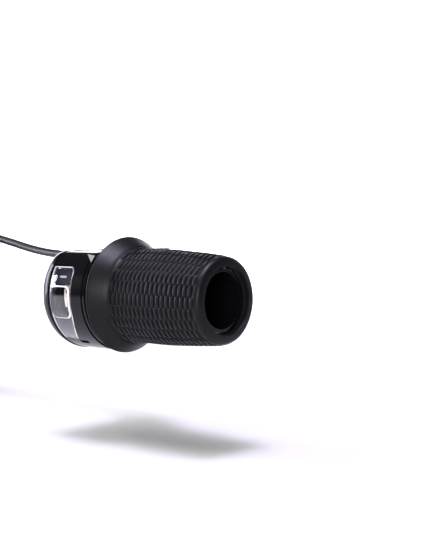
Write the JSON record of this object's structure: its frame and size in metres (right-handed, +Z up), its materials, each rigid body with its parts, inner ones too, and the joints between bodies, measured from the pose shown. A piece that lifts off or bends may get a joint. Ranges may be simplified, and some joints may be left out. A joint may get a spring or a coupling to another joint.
{
  "type": "bicycle twist shifter",
  "caption": "Right-hand twist shifter for a handlebar: ribbed rubber grip sleeve, round housing with gear window, barrel adjuster and coiled cable casing.",
  "frame": {"origin": "on the handlebar's axis, in the middle of the clamp", "axes": "+X along the bar towards its open end, +Y forward away from the rider, +Z up"},
  "size_m": [0.2395, 0.0632, 0.054],
  "materials": {
    "housing_black": "polished black moulding",
    "screw_steel": "zinc plated",
    "window_clear": "clear, polished",
    "mask_navy": "dark blue-black, glossy",
    "mark_white": "printed white",
    "dial_white": "warm white with red numbers",
    "spring_steel": "bright spring steel",
    "slip_plastic": "natural acetal",
    "wire_steel": "stranded wire",
    "insert_brass": "turned",
    "ferrule_alloy": "drawn, satin",
    "casing_black": "satin black jacket over steel wire",
    "tie_plastic": "satin nylon",
    "core_nylon": "filled nylon",
    "grip_rubber": "matt moulded rubber",
    "adjuster_plastic": "satin black moulding",
    "seal_rubber": "matt"
  },
  "bodies": {
    "housing": {"housing_base": "housing_black", "housing_cover": "housing_black", "cover_screw_1": "screw_steel", "cover_screw_2": "screw_steel", "clamp_screw": "screw_steel", "clamp_nut": "screw_steel", "window_lens": "window_clear", "indicator_bezel": "mask_navy", "index_mark": "mark_white", "detent_spring": "spring_steel", "inner_cable": "wire_steel", "thrust_washer": "slip_plastic", "end_washer": "spring_steel", "retaining_ring": "spring_steel", "cable_guide": "slip_plastic", "cable_hatch": "housing_black", "hatch_screw": "screw_steel", "nose_insert": "insert_brass", "casing_ferrule": "ferrule_alloy", "cable_casing": "casing_black", "cable_coil": "casing_black", "coil_tie": "tie_plastic", "casing_end": "casing_black", "end_ferrule": "ferrule_alloy", "wire_tail": "wire_steel", "crimp_cap": "ferrule_alloy"},
    "grip": {"grip_core": "core_nylon", "grip_rubber": "grip_rubber", "cable_drum": "core_nylon", "number_ring": "dial_white", "cable_head": "wire_steel", "cable_wrap": "wire_steel"},
    "adjuster": {"adjuster_barrel": "adjuster_plastic", "adjuster_ring": "seal_rubber"}
  },
  "joints": [
    {"name": "grip_twist", "type": "hinge", "parent": "housing", "child": "grip", "pos_m": [0.05, 0, 0], "axis": [1, 0, 0], "range_deg": [0, 66.5], "deforming": ["detent_spring"]},
    {"name": "adjuster_turn", "type": "hinge", "parent": "housing", "child": "adjuster", "pos_m": [-0.0075, 0.0285, 0.015], "axis": [1, 0, 0], "range_deg": [-360, 360]}
  ]
}
